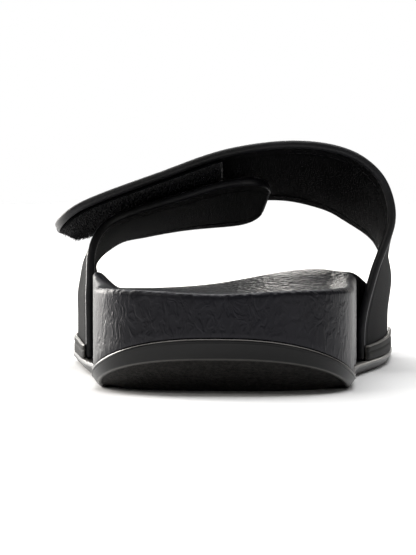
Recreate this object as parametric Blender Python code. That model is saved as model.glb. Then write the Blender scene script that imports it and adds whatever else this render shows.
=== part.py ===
"""Left-foot slide sandal with a two-piece hook-and-loop strap.

The origin is on the floor under the heel's tread. +X points to the medial side,
+Y to the toe and +Z up. Everything is in metres.
"""
import math

import bmesh
import bpy
import numpy as np

# Driving sizes
SOLE_LENGTH = 0.272
BALL_WIDTH = 0.1126
HEEL_TO_ORIGIN = 0.060
HEEL_ROUND = 0.038
HEEL_SQUARENESS = 2.5
TOE_ROUND = 0.075
TOE_SQUARENESS = 2.15

FOOTBED_HEIGHT = 0.0315
FOOTBED_EDGE_RADIUS = 0.0017
ARCH_HUMP = 0.0037
LATERAL_LIFT = 0.0034
HEEL_DIP = 0.0011

OUTSOLE_EDGE = 0.0040
OUTSOLE_BEAD = 0.0014
SIDE_DRAFT = 0.0022
TREAD_CHAMFER = 0.0013
HEEL_KICK = 0.0113
HEEL_EDGE_RISE = 0.0022
HEEL_KICK_RUN = 0.042
TOE_SPRING = 0.0065
TREAD_GROOVE = 0.0010
WAIST_LIFT = 0.0012

PLAIN_LEDGE = 0.0006
INSTEP_HEIGHT = 0.0775
STRAP_THICKNESS = 0.0028
HOOK_TAPE_THICKNESS = 0.0012
LOOP_TAPE_THICKNESS = 0.0008
HOOK_TAPE_MARGIN = 0.0018
LOOP_TAPE_MARGIN = 0.0045
RAND_THICKNESS = 0.0010
RAND_HEIGHT = 0.0065
RAND_REAR_HEIGHT = 0.0046
SEAT_CHAMFER = 0.0008
LEDGE_MARGIN = 0.0040
GAP = 0.0003

# How finely the curved pieces are divided
LOOP_POINTS = 88
STRAP_STEPS = 34
STRAP_ROWS = 8

# Sizes worked out from those above
STRAP_LEDGE = STRAP_THICKNESS + RAND_THICKNESS + 3.0 * GAP
CLOSURE_STACK = STRAP_THICKNESS + HOOK_TAPE_THICKNESS + LOOP_TAPE_THICKNESS + 3.0 * GAP
# The instep slopes, so the stack is taller when it is measured straight up
SLOPE_ALLOWANCE = 1.14

# Sole plan: along is a share of the length, centre and half are shares of the ball width
PLAN_COLUMNS = ("along", "centre", "half")
PLAN = (
    (0.000, 0.000, 0.357),
    (0.147, 0.000, 0.361),
    (0.294, -0.021, 0.375),
    (0.404, -0.034, 0.421),
    (0.515, -0.036, 0.466),
    (0.625, -0.045, 0.495),
    (0.717, -0.044, 0.496),
    (0.827, -0.020, 0.482),
    (0.919, 0.012, 0.470),
    (1.000, 0.036, 0.460),
)

# Footbed heights: along is a share of the length, rim and dish are shares of the footbed height
BED_COLUMNS = ("along", "rim", "dish")
BED = (
    (0.000, 1.000, 0.110),
    (0.130, 1.000, 0.150),
    (0.276, 1.000, 0.120),
    (0.404, 0.985, 0.095),
    (0.515, 0.880, 0.060),
    (0.625, 0.770, 0.055),
    (0.735, 0.690, 0.070),
    (0.864, 0.665, 0.075),
    (1.000, 0.715, 0.070),
)

# Outer strap: along, across and up are shares of the sole length, the ball width and the instep
# height, each at the strap's rear and front edge. hug is how far the row follows the footbed wall.
OUTER_COLUMNS = ("row", "along_rear", "along_front", "across_rear", "across_front",
                 "up_rear", "up_front", "hug")
OUTER = (
    ("foot", 0.412, 0.762, 0.420, 0.430, None, None, 1.00),
    ("low", 0.416, 0.760, 0.412, 0.430, 0.225, 0.210, 0.95),
    ("waist", 0.425, 0.751, 0.430, 0.446, 0.430, 0.390, 0.45),
    ("shoulder", 0.438, 0.741, 0.455, 0.400, 0.655, 0.545, 0.00),
    ("bend", 0.443, 0.732, 0.432, 0.304, 0.815, 0.648, 0.00),
    ("brow", 0.441, 0.724, 0.338, 0.222, 0.938, 0.708, 0.00),
    ("crown", 0.434, 0.717, 0.180, 0.085, 0.982, 0.744, 0.00),
    ("slope", 0.430, 0.717, -0.020, -0.068, 0.949, 0.733, 0.00),
    ("fall", 0.427, 0.720, -0.230, -0.236, 0.846, 0.702, 0.00),
    ("shed", 0.427, 0.724, -0.412, -0.395, 0.750, 0.650, 0.00),
    ("lip", 0.430, 0.724, -0.498, -0.490, 0.690, 0.598, 0.00),
    ("tip", 0.434, 0.720, -0.566, -0.562, 0.620, 0.560, 0.00),
)
OUTER_END_SHARE = 0.17

# Under strap, side rows: as above, with across given for the lateral side
UNDER_SIDE_COLUMNS = ("row", "along_rear", "along_front", "across_rear", "across_front",
                      "up_rear", "up_front", "hug")
UNDER_SIDE = (
    ("foot", 0.434, 0.762, 0.440, 0.500, None, None, 1.00),
    ("low", 0.436, 0.762, 0.438, 0.502, 0.215, 0.205, 1.00),
    ("waist", 0.441, 0.760, 0.437, 0.508, 0.360, 0.330, 0.97),
    ("shoulder", 0.456, 0.758, 0.436, 0.513, 0.530, 0.440, 0.25),
    ("turn", 0.476, 0.756, 0.402, 0.434, 0.634, 0.538, 0.00),
)

# Under strap, top rows: they lie under the outer strap, a closure's height below it
UNDER_TOP_COLUMNS = ("row", "along_rear", "along_front", "across_rear", "across_front")
UNDER_TOP = (
    ("fall", 0.493, 0.755, -0.318, -0.338),
    ("middle", 0.500, 0.755, -0.190, -0.220),
    ("slope", 0.502, 0.755, -0.050, -0.095),
    ("end", 0.500, 0.752, 0.106, 0.024),
)
UNDER_END_SHARE = 0.14

# How far along each strap, as a share from its foot, its tape runs
HOOK_SPAN = (0.650, 0.985)
LOOP_SPAN = (0.56, 0.95)

# Arch hump: where it peaks and how far it reaches, as shares of the length and the ball width
ARCH_ALONG = 0.42
ARCH_REACH = 0.125
ARCH_ACROSS = 0.235
ARCH_INNER = 0.255
ARCH_OUTER = 0.165
RIM_STEEPNESS = 6.0

# Lift of the lateral rim beside the strap, in the same shares
LIFT_ALONG = 0.370
LIFT_REACH = 0.070
LIFT_ACROSS = -0.415
LIFT_WIDTH = 0.030

# Outsole edge, from the floor up: inset and height in shares of the bead
EDGE_COLUMNS = ("inset", "from_top")
EDGE = (
    (0.00, 1.40),
    (0.34, 1.20),
    (0.00, 0.85),
    (0.15, 0.28),
    (0.65, 0.00),
)

# Tread rings: share of the way from the bevel to the middle, and whether it is a groove's floor
TREAD_COLUMNS = ("share", "groove")
TREAD = (
    (0.00, 0.0),
    (0.13, 0.0),
    (0.16, 1.0),
    (0.20, 1.0),
    (0.23, 0.0),
    (0.42, 0.0),
    (0.45, 1.0),
    (0.49, 1.0),
    (0.52, 0.0),
)


def clear_scene():
    """Remove every object so that the model starts from nothing."""
    for thing in list(bpy.data.objects):
        bpy.data.objects.remove(thing, do_unlink=True)


def table_curve(columns, rows, name, at):
    """Smooth curve through one column of a table, read at shares of the first column."""
    place = np.array([row[0] for row in rows])
    value = np.array([row[columns.index(name)] for row in rows])
    step = np.diff(place)
    secant = np.diff(value) / step
    slope = np.zeros(len(value))
    same = secant[:-1] * secant[1:] > 0.0
    slope[1:-1][same] = 2.0 * secant[:-1][same] * secant[1:][same] / (secant[:-1] + secant[1:])[same]
    slope[0] = secant[0]
    slope[-1] = secant[-1]
    at = np.clip(np.asarray(at, dtype=float), place[0], place[-1])
    k = np.clip(np.searchsorted(place, at, side="right") - 1, 0, len(step) - 1)
    t = (at - place[k]) / step[k]
    rise = step[k] * (slope[k] * t * (1 - t) ** 2 - slope[k + 1] * t ** 2 * (1 - t))
    return value[k] + (value[k + 1] - value[k]) * t * t * (3 - 2 * t) + rise


def ease(x):
    """Smooth step from 0 to 1."""
    x = np.clip(x, 0.0, 1.0)
    return x * x * (3.0 - 2.0 * x)


def centre_at(along):
    """Middle line of the sole at a distance from the back of the heel."""
    return BALL_WIDTH * table_curve(PLAN_COLUMNS, PLAN, "centre", along / SOLE_LENGTH)


def half_width_at(along):
    """Half width of the outsole, rounded off at heel and toe."""
    along = np.asarray(along, dtype=float)
    half = BALL_WIDTH * table_curve(PLAN_COLUMNS, PLAN, "half", along / SOLE_LENGTH)
    heel = np.clip((HEEL_ROUND - along) / HEEL_ROUND, 0.0, 1.0)
    toe = np.clip((along - SOLE_LENGTH + TOE_ROUND) / TOE_ROUND, 0.0, 1.0)
    half = half * np.maximum(1.0 - heel ** HEEL_SQUARENESS, 0.0) ** (1.0 / HEEL_SQUARENESS)
    return half * np.maximum(1.0 - toe ** TOE_SQUARENESS, 0.0) ** (1.0 / TOE_SQUARENESS)


def strap_zone(along):
    """1 where the strap feet stand, easing to 0 ahead of and behind them."""
    share = np.asarray(along, dtype=float) / SOLE_LENGTH
    rear = OUTER[0][OUTER_COLUMNS.index("along_rear")]
    front = OUTER[0][OUTER_COLUMNS.index("along_front")]
    return ease((share - rear + 0.085) / 0.075) * ease((front + 0.085 - share) / 0.075)


def ledge_at(along):
    """Width of the outsole that shows outside the footbed's wall."""
    return PLAIN_LEDGE + (STRAP_LEDGE - PLAIN_LEDGE) * strap_zone(along)


def wall_at(along, side):
    """Place across of the footbed's wall, side +1 medial and -1 lateral."""
    return centre_at(along) + side * (half_width_at(along) - ledge_at(along))


def heel_kick_at(along):
    """Height of the outsole's lower edge where it sweeps up at the back of the heel."""
    return HEEL_KICK * np.clip(1.0 - along / HEEL_KICK_RUN, 0.0, 1.0) ** 1.35


def toe_lift_at(along):
    """Height that the toe spring gives the outsole."""
    start = SOLE_LENGTH - TOE_ROUND * 0.87
    return TOE_SPRING * np.clip((along - start) / (SOLE_LENGTH - start), 0.0, 1.0) ** 1.7


def outsole_bottom_at(along):
    """Lower edge of the outsole's side."""
    return heel_kick_at(along) + toe_lift_at(along)


def outsole_top_at(along):
    """Top of the outsole, on which the footbed and the strap feet stand."""
    extra = HEEL_EDGE_RISE * np.clip(1.0 - along / HEEL_KICK_RUN, 0.0, 1.0) ** 3.0
    return outsole_bottom_at(along) + OUTSOLE_EDGE + extra


def loop_places():
    """Distance from the heel and side of each point around the sole, from the heel's back."""
    angle = 2.0 * math.pi * np.arange(LOOP_POINTS) / LOOP_POINTS
    along = 0.5 * SOLE_LENGTH * (1.0 - np.cos(angle))
    side = np.sign(np.round(np.sin(angle), 9))
    return along, side


def edge_and_hub(heel_end, toe_end):
    """Plan points of the outsole's edge, and of the middle line that they look to."""
    along, side = loop_places()
    edge = np.stack([centre_at(along) + side * half_width_at(along), along], axis=1)
    hub_along = np.clip(along, heel_end, SOLE_LENGTH - toe_end)
    hub = np.stack([centre_at(hub_along), hub_along], axis=1)
    return edge, hub


def ring(inset, share, height, heel_end=HEEL_ROUND, toe_end=0.67 * TOE_ROUND):
    """One loop of points: inset from the edge, then a share of what is left to the middle."""
    edge, hub = edge_and_hub(heel_end, toe_end)
    way = hub - edge
    reach = np.linalg.norm(way, axis=1)
    inset = np.broadcast_to(inset, reach.shape)
    travel = inset + share * (reach - inset)
    plan = edge + way / reach[:, None] * travel[:, None]
    up = height(plan[:, 0], plan[:, 1])
    return np.column_stack([plan[:, 0], plan[:, 1] - HEEL_TO_ORIGIN, up])


def material(name, colour, roughness, metallic=0.0):
    """Plain Principled finish."""
    made = bpy.data.materials.new(name)
    made.use_nodes = True
    shader = made.node_tree.nodes["Principled BSDF"]
    shader.inputs["Base Color"].default_value = (*colour, 1.0)
    shader.inputs["Roughness"].default_value = roughness
    shader.inputs["Metallic"].default_value = metallic
    return made


def add_solid(name, points, faces, finish):
    """Make one closed, smooth-shaded object with its faces pointing out."""
    work = bmesh.new()
    corners = [work.verts.new(tuple(point)) for point in points]
    for face in faces:
        work.faces.new([corners[index] for index in face])
    bmesh.ops.remove_doubles(work, verts=work.verts, dist=1e-6)
    bmesh.ops.dissolve_degenerate(work, dist=1e-7, edges=work.edges)
    bmesh.ops.recalc_face_normals(work, faces=work.faces)
    bmesh.ops.triangulate(work, faces=work.faces)
    mesh = bpy.data.meshes.new(name)
    work.to_mesh(mesh)
    work.free()
    mesh.shade_smooth()
    mesh.set_sharp_from_angle(angle=math.radians(38.0))
    made = bpy.data.objects.new(name, mesh)
    made.data.materials.append(finish)
    bpy.context.scene.collection.objects.link(made)
    return made


def loft_rings(name, rings, finish):
    """Join loops of the same length into a closed solid; the first and last close on a line."""
    count = len(rings[0])
    points = np.concatenate(rings)
    faces = []
    for level in range(len(rings) - 1):
        for k in range(count):
            a = level * count + k
            b = level * count + (k + 1) % count
            faces.append((a, b, b + count, a + count))
    return add_solid(name, points, faces, finish)


def bevel_reach_at(along):
    """How far the worn-looking bevel under the heel reaches in from the edge."""
    back = np.clip(1.0 - along / (1.4 * HEEL_KICK_RUN), 0.0, 1.0)
    side = SIDE_DRAFT + TREAD_CHAMFER
    return side + (0.60 * HEEL_KICK_RUN - side) * back ** 1.3


def make_outsole(finish):
    """Outsole: contour tread, bevelled heel, side edge with its bead, and the ledge on top."""
    along, _ = loop_places()
    reach = bevel_reach_at(along)

    def tread(groove):
        def height(x, y):
            waist = 0.452 * SOLE_LENGTH
            lift = WAIST_LIFT * np.exp(-((y - waist) / (0.075 * SOLE_LENGTH)) ** 4)
            lift = np.where(lift < 1e-5, 0.0, lift)
            return toe_lift_at(y) + lift + groove * TREAD_GROOVE
        return height

    ends = (1.8 * HEEL_ROUND, TOE_ROUND)
    rings = [ring(reach, 1.0, tread(0.0), *ends)]
    for row in reversed(TREAD):
        cell = dict(zip(TREAD_COLUMNS, row))
        rings.append(ring(reach, cell["share"], tread(cell["groove"]), *ends))
    chamfer = TREAD_CHAMFER
    rings.append(ring(SIDE_DRAFT + 0.6 * chamfer, 0.0, lambda x, y: outsole_bottom_at(y)))
    tall = OUTSOLE_EDGE - OUTSOLE_BEAD
    corner = 1.0 - 0.45 * chamfer / tall
    rings.append(ring(SIDE_DRAFT * corner, 0.0, lambda x, y: outsole_bottom_at(y) + 0.45 * chamfer))
    for row in EDGE:
        cell = dict(zip(EDGE_COLUMNS, row))
        level = cell["from_top"] * OUTSOLE_BEAD
        below = max(level - OUTSOLE_BEAD, 0.0)
        inset = cell["inset"] * OUTSOLE_BEAD + SIDE_DRAFT * below / tall
        rings.append(ring(inset, 0.0, lambda x, y, d=level: outsole_top_at(y) - d))
    rings.append(ring(STRAP_LEDGE + LEDGE_MARGIN, 0.0, lambda x, y: outsole_top_at(y)))
    rings.append(ring(STRAP_LEDGE, 0.5, lambda x, y: outsole_top_at(y)))
    rings.append(ring(STRAP_LEDGE, 1.0, lambda x, y: outsole_top_at(y)))
    return loft_rings("outsole", rings, finish)


def rim_at(x, y):
    """Height of the footbed's rim, a little lower in the middle of the heel."""
    rim = FOOTBED_HEIGHT * table_curve(BED_COLUMNS, BED, "rim", y / SOLE_LENGTH)
    return rim - HEEL_DIP * np.exp(-(x / (0.14 * BALL_WIDTH)) ** 2 - (y / HEEL_ROUND) ** 2)


def bed_height(depth):
    """Footbed top at a depth from 0 at the rim to 1 in the middle, with hump and side lift."""
    def height(x, y):
        dish = FOOTBED_HEIGHT * table_curve(BED_COLUMNS, BED, "dish", y / SOLE_LENGTH)
        far = ((y - ARCH_ALONG * SOLE_LENGTH) / (ARCH_REACH * SOLE_LENGTH)) ** 2
        offset = x / BALL_WIDTH - ARCH_ACROSS
        across = np.where(offset < 0.0, offset / ARCH_INNER, offset / ARCH_OUTER) ** 2
        bell = np.exp(-far - across)
        along = ((y - LIFT_ALONG * SOLE_LENGTH) / (LIFT_REACH * SOLE_LENGTH)) ** 2
        beside = ((x / BALL_WIDTH - LIFT_ACROSS) / LIFT_WIDTH) ** 2
        lift = LATERAL_LIFT * np.exp(-along - beside)
        return rim_at(x, y) - dish * ease(depth) * (1.0 - bell) + ARCH_HUMP * bell + lift
    return height


def make_footbed(finish):
    """Footbed block: flat underside, upright wall with strap recesses, rim and dished top."""
    along, _ = loop_places()
    inset = ledge_at(along)

    def seat(x, y):
        return outsole_top_at(y) + GAP

    rings = [ring(inset, 1.0, seat), ring(inset, 0.5, seat), ring(inset + SEAT_CHAMFER, 0.0, seat)]
    rings.append(ring(inset, 0.0, lambda x, y: seat(x, y) + SEAT_CHAMFER))
    rings.append(ring(inset, 0.0, lambda x, y: 0.5 * (seat(x, y) + rim_at(x, y))))
    radius = FOOTBED_EDGE_RADIUS
    for step in range(4):
        turn = math.radians(90.0 * step / 3.0)
        side = inset + radius * (1.0 - math.cos(turn))
        drop = radius * (1.0 - math.sin(turn))
        edge = bed_height(0.0)
        rings.append(ring(side, 0.0, lambda x, y, d=drop, f=edge: f(x, y) - d))
    for share in (0.04, 0.09, 0.17, 0.30, 0.50, 0.75, 1.0):
        rings.append(ring(inset + radius, share, bed_height(share * RIM_STEEPNESS)))
    return loft_rings("footbed", rings, finish)


def row_path(rows, steps):
    """Smooth curve through rows of points, an even number of steps from row to row."""
    rows = np.asarray(rows)
    padded = np.concatenate([2 * rows[:1] - rows[1:2], rows, 2 * rows[-1:] - rows[-2:-1]])
    at = np.linspace(0.0, len(rows) - 1.0, steps + 1)
    k = np.clip(at.astype(int), 0, len(rows) - 2)
    t = (at - k).reshape((-1,) + (1,) * (rows.ndim - 1))
    a, b, c, d = padded[k], padded[k + 1], padded[k + 2], padded[k + 3]
    bend = (c - a) * t + (2 * a - 5 * b + 4 * c - d) * t ** 2 + (3 * b - a - 3 * c + d) * t ** 3
    return b + 0.5 * bend


def side_row(columns, row, share, side):
    """Middle of the strap's wall along one table row, at shares from rear to front edge."""
    cell = dict(zip(columns, row))
    along = SOLE_LENGTH * (cell["along_rear"] + (cell["along_front"] - cell["along_rear"]) * share)
    free = BALL_WIDTH * (cell["across_rear"] + (cell["across_front"] - cell["across_rear"]) * share)
    wall = wall_at(along, side) + side * (GAP + 0.5 * STRAP_THICKNESS)
    across = cell["hug"] * wall + (1.0 - cell["hug"]) * side * free
    if cell["up_rear"] is None:
        up = outsole_top_at(along) + GAP
    else:
        up = INSTEP_HEIGHT * (cell["up_rear"] + (cell["up_front"] - cell["up_rear"]) * share)
    return np.stack([across, along, up], axis=-1)


def outer_rows(share):
    """Rows of the outer strap's middle surface at shares from its rear to its front edge."""
    return np.array([side_row(OUTER_COLUMNS, row, share, 1.0) for row in OUTER])


def outer_height(across, along):
    """Height of the outer strap's middle surface over the instep, read at a plan point."""
    top = outer_rows(np.array([0.0, 1.0]))[4:]
    rear, front = top[:, 0], top[:, 1]
    share = (along - rear[2, 1]) / (front[2, 1] - rear[2, 1])
    places = rear[:, 0] + (front[:, 0] - rear[:, 0]) * share
    heights = rear[:, 2] + (front[:, 2] - rear[:, 2]) * share
    order = np.argsort(places)
    rows = list(zip(places[order], heights[order]))
    return float(table_curve(("across", "up"), rows, "up", across))


def under_rows(share):
    """Rows of the under strap's middle surface, side rows first and then those on top."""
    rows = [side_row(UNDER_SIDE_COLUMNS, row, share, -1.0) for row in UNDER_SIDE]
    for row in UNDER_TOP:
        cell = dict(zip(UNDER_TOP_COLUMNS, row))
        across_step = cell["across_front"] - cell["across_rear"]
        along_step = cell["along_front"] - cell["along_rear"]
        across = BALL_WIDTH * (cell["across_rear"] + across_step * share)
        along = SOLE_LENGTH * (cell["along_rear"] + along_step * share)
        up = [outer_height(x, y) - SLOPE_ALLOWANCE * CLOSURE_STACK for x, y in zip(across, along)]
        rows.append(np.stack([across, along, np.array(up)], axis=-1))
    return np.array(rows)


def end_width(travel, end_share):
    """Width left in a strap's rounded end, 1 before it and small at its tip."""
    into = np.clip((travel - 1.0 + end_share) / end_share, 0.0, 0.985)
    return (1.0 - into ** 3.2) ** (1.0 / 3.2)


def strap_sheet(rows_at, end_share, span=(0.0, 1.0), margin=0.0, steps=STRAP_STEPS):
    """Grid of points over a strap's middle surface, from its foot to its rounded end."""
    wide = 24
    shares = np.linspace(0.0, 1.0, wide + 1)
    fine = row_path(rows_at(shares), 240)
    travel = np.linspace(0.0, 1.0, steps + 1)
    bunched = travel + 0.10 * np.sin(math.pi * travel) * travel
    travel = np.clip(span[0] + (span[1] - span[0]) * bunched, 0.0, 1.0)
    line = fine[np.round(travel * 240).astype(int)]
    width = np.linalg.norm(line[:, -1] - line[:, 0], axis=1)
    keep = end_width(travel, end_share) - 2.0 * margin / width
    across = np.linspace(-0.5, 0.5, STRAP_ROWS + 1)
    place = np.clip(0.5 + across[None, :] * keep[:, None], 0.0, 1.0) * wide
    low = np.clip(place.astype(int), 0, wide - 1)
    part = (place - low)[..., None]
    index = np.arange(len(line))[:, None]
    return line[index, low] * (1.0 - part) + line[index, low + 1] * part


def sheet_normals(grid, side):
    """Unit normals of a grid of points, turned to the strap's outer face."""
    first = np.gradient(grid, axis=0)
    second = np.gradient(grid, axis=1)
    normal = np.cross(second, first) * side
    return normal / np.linalg.norm(normal, axis=2, keepdims=True)


def sheet_solid(name, grid, side, offset, thickness, finish):
    """Give a grid of points a wall: two faces joined by a rounded edge."""
    normal = sheet_normals(grid, side)
    middle = grid + normal * offset
    rows, columns = grid.shape[:2]
    inward = np.zeros_like(grid)
    inward[0] += middle[1] - middle[0]
    inward[-1] += middle[-2] - middle[-1]
    inward[:, 0] += middle[:, 1] - middle[:, 0]
    inward[:, -1] += middle[:, -2] - middle[:, -1]
    size = np.linalg.norm(inward, axis=2, keepdims=True)
    inward = np.where(size > 0.0, inward / np.maximum(size, 1e-9), 0.0) * 0.32 * thickness
    outer = middle + normal * 0.5 * thickness + inward
    inner = middle - normal * 0.5 * thickness + inward
    rim = [(i, 0) for i in range(rows)] + [(rows - 1, j) for j in range(1, columns)]
    rim += [(i, columns - 1) for i in range(rows - 2, -1, -1)]
    rim += [(0, j) for j in range(columns - 2, 0, -1)]
    edge = np.array([middle[i, j] for i, j in rim])
    points = np.concatenate([outer.reshape(-1, 3), inner.reshape(-1, 3), edge])
    points[:, 1] -= HEEL_TO_ORIGIN
    under = rows * columns
    last = 2 * under
    faces = []
    for i in range(rows - 1):
        for j in range(columns - 1):
            a = i * columns + j
            faces.append((a, a + 1, a + columns + 1, a + columns))
            faces.append((under + a, under + a + columns, under + a + columns + 1, under + a + 1))
    for k, (i, j) in enumerate(rim):
        after = (k + 1) % len(rim)
        m, n = rim[after]
        here = i * columns + j
        there = m * columns + n
        faces.append((here, there, last + after, last + k))
        faces.append((last + k, last + after, under + there, under + here))
    return add_solid(name, points, faces, finish)


def make_rand(name, rows_at, side, finish):
    """Low band outside a strap's foot, standing on the outsole's ledge, lower at the rear."""
    shares = np.linspace(0.0, 1.0, 15)
    sheet = row_path(rows_at(shares), 240)
    rise = sheet[:, :, 2] - sheet[0, :, 2]
    columns = []
    for k, share in enumerate(shares):
        height = RAND_REAR_HEIGHT + (RAND_HEIGHT - RAND_REAR_HEIGHT) * share
        level = int(np.searchsorted(rise[:, k], height))
        columns.append(sheet[np.linspace(0, level, 4).astype(int), k])
    grid = np.stack(columns, axis=1)
    offset = 0.5 * STRAP_THICKNESS + GAP + 0.5 * RAND_THICKNESS
    return sheet_solid(name, grid, side, offset, RAND_THICKNESS, finish)


def main():
    clear_scene()
    foam = material("moulded_foam", (0.022, 0.022, 0.025), 0.48)
    rubber = material("outsole_rubber", (0.018, 0.018, 0.019), 0.62)
    strap = material("strap_synthetic", (0.010, 0.010, 0.011), 0.55)
    tape = material("closure_tape", (0.014, 0.014, 0.015), 0.90)
    band = material("rand_rubber", (0.020, 0.020, 0.021), 0.50)

    make_outsole(rubber)
    make_footbed(foam)
    outer = strap_sheet(outer_rows, OUTER_END_SHARE)
    under = strap_sheet(under_rows, UNDER_END_SHARE)
    sheet_solid("strap_outer", outer, 1.0, 0.0, STRAP_THICKNESS, strap)
    sheet_solid("strap_under", under, -1.0, 0.0, STRAP_THICKNESS, strap)

    hook = strap_sheet(outer_rows, OUTER_END_SHARE, HOOK_SPAN, HOOK_TAPE_MARGIN, 16)
    loop = strap_sheet(under_rows, UNDER_END_SHARE, LOOP_SPAN, LOOP_TAPE_MARGIN, 14)
    hook_offset = -(0.5 * STRAP_THICKNESS + GAP + 0.5 * HOOK_TAPE_THICKNESS)
    loop_offset = 0.5 * STRAP_THICKNESS + GAP + 0.5 * LOOP_TAPE_THICKNESS
    sheet_solid("hook_tape", hook, 1.0, hook_offset, HOOK_TAPE_THICKNESS, tape)
    sheet_solid("loop_tape", loop, -1.0, loop_offset, LOOP_TAPE_THICKNESS, tape)

    make_rand("rand_medial", outer_rows, 1.0, band)
    make_rand("rand_lateral", under_rows, -1.0, band)


main()
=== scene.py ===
import math
import bpy
import bmesh
import numpy as np
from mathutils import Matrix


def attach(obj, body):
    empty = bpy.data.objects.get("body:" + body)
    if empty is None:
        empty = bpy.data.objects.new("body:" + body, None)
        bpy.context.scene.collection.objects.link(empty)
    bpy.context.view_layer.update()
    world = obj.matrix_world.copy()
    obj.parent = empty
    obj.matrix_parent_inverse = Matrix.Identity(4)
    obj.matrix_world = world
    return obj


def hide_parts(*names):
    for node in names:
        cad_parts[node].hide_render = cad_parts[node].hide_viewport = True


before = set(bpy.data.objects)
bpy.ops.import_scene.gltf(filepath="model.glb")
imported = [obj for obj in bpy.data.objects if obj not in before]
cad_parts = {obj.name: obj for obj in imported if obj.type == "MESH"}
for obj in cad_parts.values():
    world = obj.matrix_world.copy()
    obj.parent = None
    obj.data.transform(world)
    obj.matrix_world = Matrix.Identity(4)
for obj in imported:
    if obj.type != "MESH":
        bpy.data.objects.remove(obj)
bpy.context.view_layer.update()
print("frame loaded:", len(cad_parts), "nodes")


# Small tools for tables, meshes and materials


def tableCurve(rows, column, at):
    # Monotone cubic through one column of a table: each row's slope is the harmonic mean of the
    # two steps beside it, or 0 where the column turns
    place = np.array([row[0] for row in rows])
    value = np.array([row[column] for row in rows])
    step = np.diff(place)
    secant = np.diff(value) / step
    slope = np.zeros(len(value))
    same = secant[:-1] * secant[1:] > 0.0
    before, after = secant[:-1][same], secant[1:][same]
    slope[1:-1][same] = 2.0 * before * after / (before + after)
    slope[0], slope[-1] = secant[0], secant[-1]
    at = np.clip(np.asarray(at, dtype=float), place[0], place[-1])
    k = np.clip(np.searchsorted(place, at, side="right") - 1, 0, len(step) - 1)
    t = (at - place[k]) / step[k]
    rise = step[k] * (slope[k] * t * (1 - t) ** 2 - slope[k + 1] * t ** 2 * (1 - t))
    return value[k] + (value[k + 1] - value[k]) * t * t * (3 - 2 * t) + rise


def ease(x):
    # Smooth step from 0 to 1: x squared times (3 - 2x)
    x = np.clip(x, 0.0, 1.0)
    return x * x * (3.0 - 2.0 * x)


def rowPath(rows, steps):
    # Catmull-Rom curve through rows of points: each row's slope is half the way between its
    # neighbours, with as many steps from row to row
    rows = np.asarray(rows)
    padded = np.concatenate([2 * rows[:1] - rows[1:2], rows, 2 * rows[-1:] - rows[-2:-1]])
    at = np.linspace(0.0, len(rows) - 1.0, steps + 1)
    k = np.clip(at.astype(int), 0, len(rows) - 2)
    t = (at - k).reshape((-1,) + (1,) * (rows.ndim - 1))
    a, b, c, d = padded[k], padded[k + 1], padded[k + 2], padded[k + 3]
    bend = (c - a) * t + (2 * a - 5 * b + 4 * c - d) * t ** 2 + (3 * b - a - 3 * c + d) * t ** 3
    return b + 0.5 * bend


def addToScene(name, data):
    # An object at the origin that holds a mesh, lamp or camera
    made = bpy.data.objects.new(name, data)
    bpy.context.scene.collection.objects.link(made)
    return made


def makeMesh(name, points, faces, finishes, slots=None, marks=None, merge=True):
    # Puts arrays of points and quads into one smooth mesh at the origin; marks are values per point
    mesh = bpy.data.meshes.new(name)
    mesh.from_pydata(np.asarray(points, dtype=np.float32), [], np.asarray(faces, dtype=np.int32))
    for finish in finishes:
        mesh.materials.append(finish)
    if slots is not None:
        mesh.polygons.foreach_set("material_index", np.asarray(slots, dtype=np.int32))
    for key, values in (marks or {}).items():
        layer = mesh.attributes.new(key, "FLOAT", "POINT")
        layer.data.foreach_set("value", np.asarray(values, dtype=np.float32))
    if merge:
        work = bmesh.new()
        work.from_mesh(mesh)
        bmesh.ops.remove_doubles(work, verts=work.verts, dist=1e-6)
        bmesh.ops.dissolve_degenerate(work, dist=1e-7, edges=work.edges)
        bmesh.ops.recalc_face_normals(work, faces=work.faces)
        work.to_mesh(mesh)
        work.free()
    mesh.shade_smooth()
    return addToScene(name, mesh)


def hexColour(code):
    # sRGB hex to linear red, green, blue and alpha: a straight start, then a 2.4 power
    parts = [int(code[k:k + 2], 16) / 255.0 for k in (1, 3, 5)]
    linear = [c / 12.92 if c <= 0.04045 else ((c + 0.055) / 1.055) ** 2.4 for c in parts]
    return (*linear, 1.0)


def addNode(tree, kind, links=None, target=None, **settings):
    # Adds a node, sets its properties or sockets by name, and links its inputs, and its first
    # output to the target socket
    node = tree.nodes.new(kind)
    for key, value in settings.items():
        if hasattr(node, key):
            setattr(node, key, value)
        else:
            node.inputs[key.replace("_", " ")].default_value = value
    for key, source in (links or {}).items():
        tree.links.new(source, node.inputs[key])
    if target is not None:
        tree.links.new(node.outputs[0], target)
    return node


def newMaterial(name, **shaderSettings):
    # A Principled material; returns it with its tree, shader and object coordinates
    made = bpy.data.materials.new(name)
    made.use_nodes = True
    tree = made.node_tree
    shader = tree.nodes["Principled BSDF"]
    for key, value in shaderSettings.items():
        shader.inputs[key.replace("_", " ")].default_value = value
    where = addNode(tree, "ShaderNodeTexCoord").outputs["Object"]
    return made, tree, shader, where


def colourBetween(tree, shader, driver, tonePair, lowAt=0.3, highAt=0.7):
    # Base colour that goes from the first tone to the second as the driver goes from lowAt to highAt
    ramp = addNode(tree, "ShaderNodeValToRGB", {"Fac": driver}, shader.inputs["Base Color"])
    for element, place, tone in zip(ramp.color_ramp.elements, (lowAt, highAt), tonePair):
        element.position = place
        element.color = hexColour(tone)


# Materials


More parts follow.
